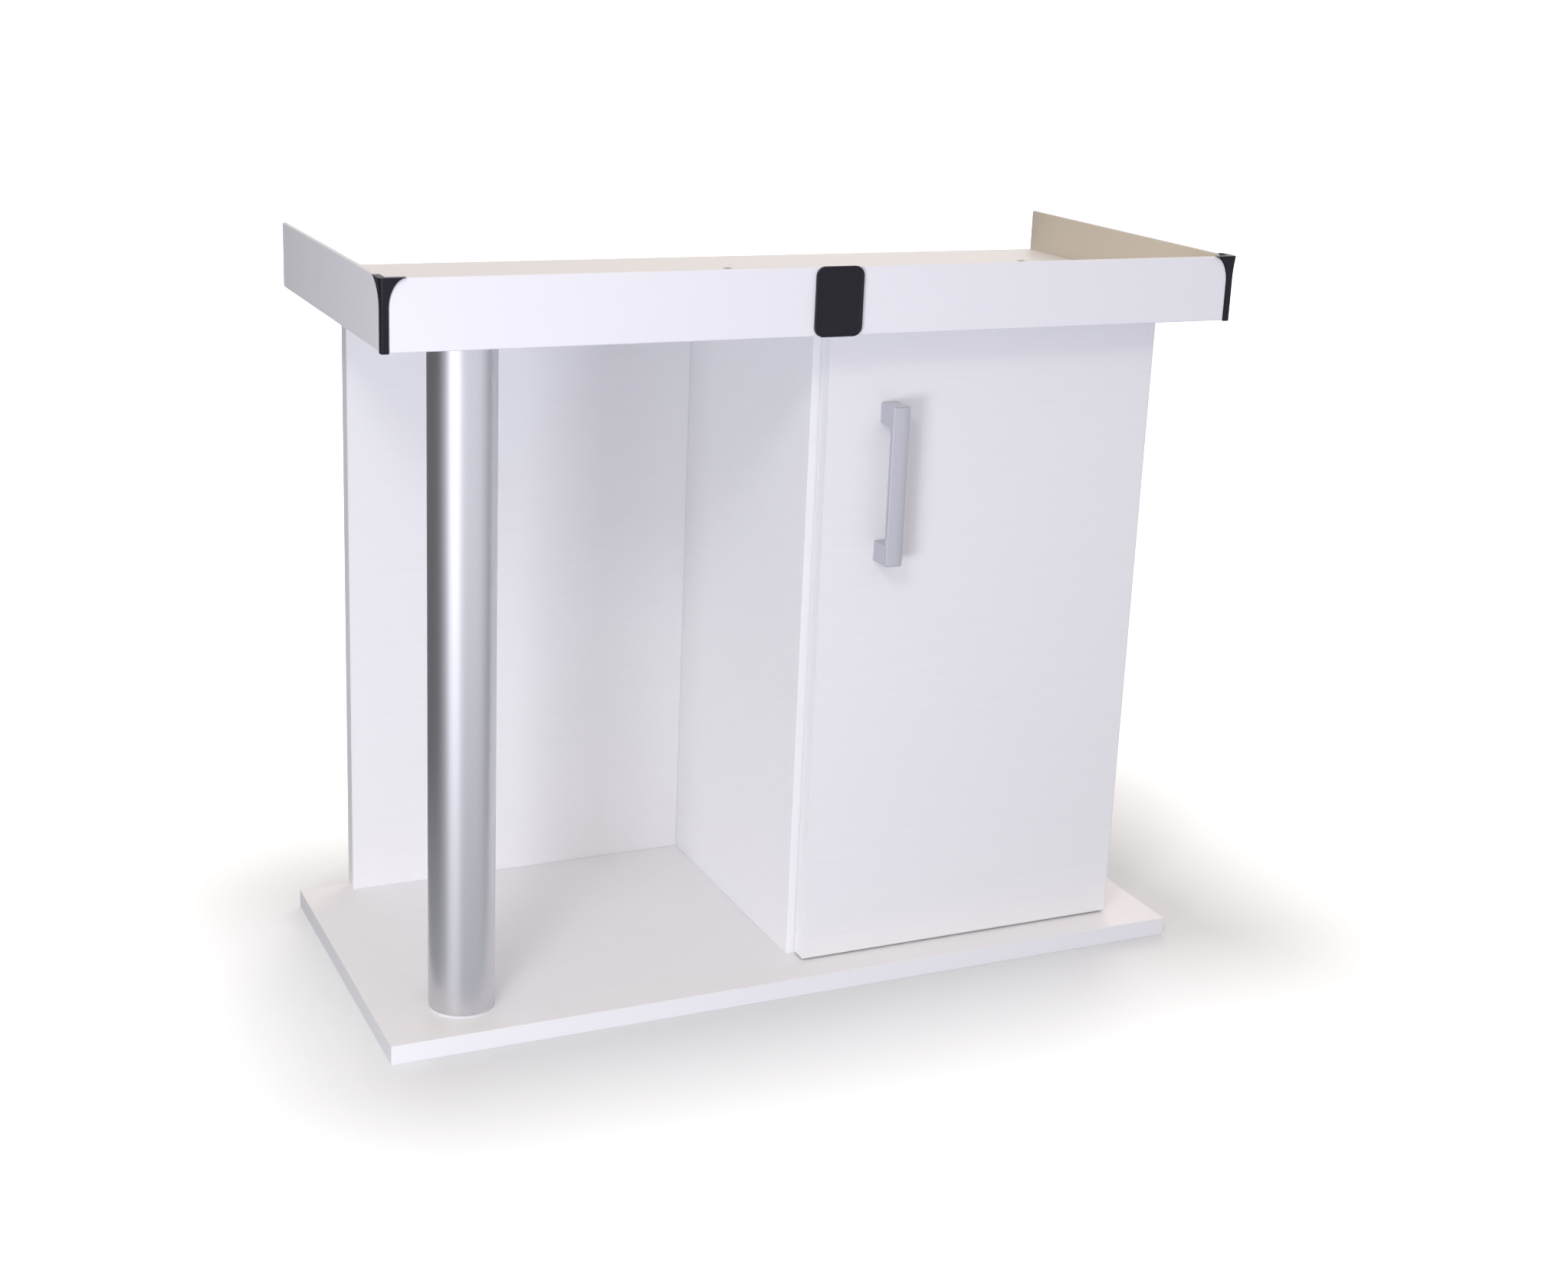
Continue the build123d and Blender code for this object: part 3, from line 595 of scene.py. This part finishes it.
# ---------------------------------------------------------------- handle
handle_low, handle_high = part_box("handle")
POST = 19 * MM  # height of each end post
FINGER = 20 * MM  # gap behind the bar
CROWN = 1.0 * MM
SIDE_ROUND = 0.8 * MM
END_ROUND = 1.2 * MM
GAP_ROUND = 1.0 * MM
SIDE_STEPS = 5
FLAT_STEPS = 8
back, front = handle_high.y, handle_low.y
gap = back - FINGER
handle_outline = rounded_outline(
    [
        (front, handle_low.z, END_ROUND),
        (back, handle_low.z, 0),
        (back, handle_low.z + POST, 0),
        (gap, handle_low.z + POST, GAP_ROUND),
        (gap, handle_high.z - POST, GAP_ROUND),
        (back, handle_high.z - POST, 0),
        (back, handle_high.z, 0),
        (front, handle_high.z, END_ROUND),
    ]
)
half = (handle_high.x - handle_low.x) / 2
edge_stations = [(-half + inwards, drawn_in) for inwards, drawn_in in quarter_round(SIDE_ROUND, SIDE_STEPS)]
stations = list(edge_stations)
for step in range(1 - FLAT_STEPS, FLAT_STEPS):
    stations.append(((half - SIDE_ROUND) * step / FLAT_STEPS, 0.0))
stations += [(-across, drawn_in) for across, drawn_in in reversed(edge_stations)]
loops = []
for across, drawn_in in stations:
    crown = CROWN * (across / half) ** 2
    loop = []
    for p in inset(handle_outline, drawn_in):
        share = max(0.0, min(1.0, (gap - p.x) / (gap - front)))
        loop.append((handle_low.x + half + across, p.x + crown * share, p.y))
    loops.append(loop)
finish_piece("bar_handle", solid(loops), "handle")

# ---------------------------------------------------------------- studio helpers
scene.view_settings.view_transform = "Standard"


def aim(piece, location, target, axis):
    """Place something and turn one of its axes towards a point."""
    piece.location = location
    piece.rotation_euler = (Vector(target) - Vector(location)).to_track_quat(axis, "Y").to_euler()


def sheet(size):
    """A flat square mesh; Blender's grid is twice its size across."""
    bm = bmesh.new()
    bmesh.ops.create_grid(bm, x_segments=1, y_segments=1, size=size)
    return bm


def hide(piece, *rays):
    """These rays don't see the piece, and it casts no shadow."""
    piece.visible_camera = "camera" not in rays
    piece.visible_diffuse = "diffuse" not in rays
    piece.visible_glossy = "glossy" not in rays
    piece.visible_shadow = False


def soft_light(name, location, target, size, power, colour, glossy=False):
    """A square soft box; reflections show it only if it is glossy."""
    data = bpy.data.lights.new(name, "AREA")
    data.shape = "SQUARE"
    data.size = size
    data.energy = power
    data.color = colour
    light = bpy.data.objects.new(name, data)
    scene.collection.objects.link(light)
    aim(light, location, target, "-Z")
    light.visible_glossy = glossy


# ---------------------------------------------------------------- floor
# White paper that glows by itself, less so close to the stand: a painted soft contact shadow round the base
# board.
FLOOR_FLAT = 30.0  # radius of the flat part, in metres, with a cove and a wall round it
COVE_RADIUS = 6.0
WALL_TOP = 40.0
FLOOR_STEPS = 96
SHADOW_MIDDLE = (0.05, 0.0, 0.0)
SHADOW_REACH = 0.28  # how far the shadow goes beyond the base board
SHADOW_GLOW = 0.05
NEAR_GLOW = 0.6
FAR_GLOW = 0.9  # added to the near glow further out
profile = []
for degrees in range(0, 91, 10):
    angle = math.radians(degrees)
    profile.append((FLOOR_FLAT + COVE_RADIUS * math.sin(angle), COVE_RADIUS - COVE_RADIUS * math.cos(angle)))
profile.append((FLOOR_FLAT + COVE_RADIUS, WALL_TOP))
bm = bmesh.new()
rings = lathe(bm, profile, Vector((0, 0, 0)), FLOOR_STEPS)
bm.faces.new(rings[0])

floor_material, s, principled = new_material("floor_paper")
principled.inputs["Base Color"].default_value = rgb(0.70, 0.72, 0.735)
principled.inputs["Roughness"].default_value = 0.9
principled.inputs["Specular IOR Level"].default_value = 0.0
principled.inputs["Emission Color"].default_value = rgb(1.0, 1.0, 1.0)
base_low, base_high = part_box("base_board")
base_half = (base_high - base_low) / 2
# The glow drops within SHADOW_REACH of the base board: a painted contact shadow.
beyond = s.vector("ABSOLUTE", s.vector("SUBTRACT", s.place(), SHADOW_MIDDLE))
beyond = s.vector("SUBTRACT", beyond, (base_half.x, base_half.y, 0.0))
beyond = s.vector("LENGTH", s.vector("MAXIMUM", beyond, (0.0, 0.0, 0.0)))
near = s.remap(beyond, 0.0, SHADOW_REACH, SHADOW_GLOW, NEAR_GLOW)
far = s.remap(beyond, 0.5, 6.0, 0.0, FAR_GLOW)
s.feed(principled, "Emission Strength", s.math("ADD", near, far))
floor = add_object("floor", bm, floor_material)
hide(floor, "diffuse", "glossy")

# ---------------------------------------------------------------- lights
MIDDLE = Vector((0.0, 0.0, 0.35))
LIGHT_AWAY = 3.0
KEY_WAY = Vector((-0.496, -0.612, 0.616))
REAR_WAY = Vector((0.5, 0.7, 0.5))
KEY_COLOUR = (0.97, 0.98, 1.0)
REAR_COLOUR = (1.0, 0.90, 0.80)
LOW_COLOUR = (0.91, 0.935, 1.0)
LOW_PLACE = (-1.5, -1.4, 0.32)
LOW_TARGET = (-0.1, 0.0, 0.3)
soft_light("key", MIDDLE + KEY_WAY * LIGHT_AWAY, MIDDLE, 0.55, 12.0, KEY_COLOUR, glossy=True)
soft_light("rear_fill", MIDDLE + REAR_WAY * LIGHT_AWAY, MIDDLE, 1.2, 18.0, REAR_COLOUR)
soft_light("low_fill", LOW_PLACE, LOW_TARGET, 0.5, 16.0, LOW_COLOUR)

# ---------------------------------------------------------------- what the metal reflects
LEG = Vector((tube_centre.x, tube_centre.y, 0.0))
STRIP_WAY = Vector((-0.67, -0.74, 0.0)).normalized()
STRIP_HEIGHT = Vector((0, 0, 0.8))
STRIP_AWAY = 2.0
STRIP_SIZE = (1.1, 1.6, 1)

# A glowing sheet that only reflections see: a painted reflection of the floor, bright in front, dark behind,
# with a painted highlight streak towards the strip.
mirror_material, s, glow = glow_material("mirrored_floor", rgb(0.99, 0.985, 1.04))
way = s.vector("NORMALIZE", s.place())
toward = s.vector("DOT_PRODUCT", way, (0.0, -1.0, 0.0))
reach = s.vector("LENGTH", s.place())
ahead = s.remap(reach, 0.2, 1.9, 0.56, 0.95)
lit = s.remap(toward, -0.1, 0.75, 0.0, 1.0)
dark = s.remap(reach, 0.1, 0.7, 0.42, 0.15)
open_floor = s.math("ADD", s.math("MULTIPLY", lit, s.math("SUBTRACT", ahead, dark)), dark)
streak = s.remap(s.vector("DOT_PRODUCT", way, STRIP_WAY), 0.91, 0.98, 0.0, 1.0)
lit_streak = s.math("MULTIPLY", streak, s.remap(reach, 0.15, 1.9, 0.25, 1.05))
s.feed(glow, "Strength", s.math("ADD", open_floor, lit_streak))
mirrored = add_object("mirrored_floor", sheet(40.0), mirror_material)
mirrored.location = LEG - Vector((0, 0, 2 * MM))
hide(mirrored, "camera", "diffuse")

# A glowing card that only reflections see: a painted highlight on the leg and the handle.
card_material, s, glow = glow_material("strip", rgb(0.95, 0.96, 1.0))
glow.inputs["Strength"].default_value = 1.9
card = add_object("strip", sheet(0.5), card_material)
aim(card, LEG + STRIP_AWAY * STRIP_WAY + STRIP_HEIGHT, LEG + STRIP_HEIGHT, "Z")
card.scale = STRIP_SIZE
hide(card, "camera", "diffuse")

# ---------------------------------------------------------------- room
ROOM_LIGHT = (0.36, 0.36, 0.40)  # from every side
ROOM_SIDES = (  # more or less light than that from one side, fading with the angle away from it
    ((0.12, -0.86, -0.50), (0.34, 0.335, 0.385)),  # pale floor in front
    ((0.0, 0.0, 1.0), (0.59, 0.50, 0.38)),  # warm ceiling
    ((0.6, 0.8, 0.0), (0.26, 0.26, 0.28)),  # bright rear right
    ((-0.8, 0.6, -0.35), (-0.36, -0.36, -0.38)),  # dark rear left
    ((0.8, -0.6, 0.0), (-0.18, -0.18, -0.18)),  # dim front right
)
world = bpy.data.worlds.new("studio")
scene.world = world
world.use_nodes = True
s = Shader(world.node_tree)
light = ROOM_LIGHT
for way, colour in ROOM_SIDES:
    seen = s.node("ShaderNodeTexCoord").outputs["Generated"]
    toward = s.vector("DOT_PRODUCT", seen, Vector(way).normalized())
    light = s.vector("ADD", light, s.vector("SCALE", colour, s.math("MAXIMUM", toward, 0.0)))
s.feed(world.node_tree.nodes["Background"], "Color", light)

# ---------------------------------------------------------------- camera
CAMERA_PLACE = Vector((-0.8481, -1.8629, 0.9490))
CAMERA_YAW, CAMERA_PITCH, CAMERA_ROLL = 24.327, 15.850, 2.154
camera_data = bpy.data.cameras.new("camera")
camera_data.sensor_width = 36.0
camera_data.lens = 50.59
camera_data.shift_x = 0.0272
camera_data.shift_y = -0.0386
camera = bpy.data.objects.new("camera", camera_data)
scene.collection.objects.link(camera)
turn = Matrix.Rotation(math.radians(-CAMERA_YAW), 4, "Z")
turn @= Matrix.Rotation(math.radians(90 - CAMERA_PITCH), 4, "X")
turn @= Matrix.Rotation(math.radians(CAMERA_ROLL), 4, "Z")
camera.matrix_world = Matrix.Translation(CAMERA_PLACE) @ turn
scene.camera = camera
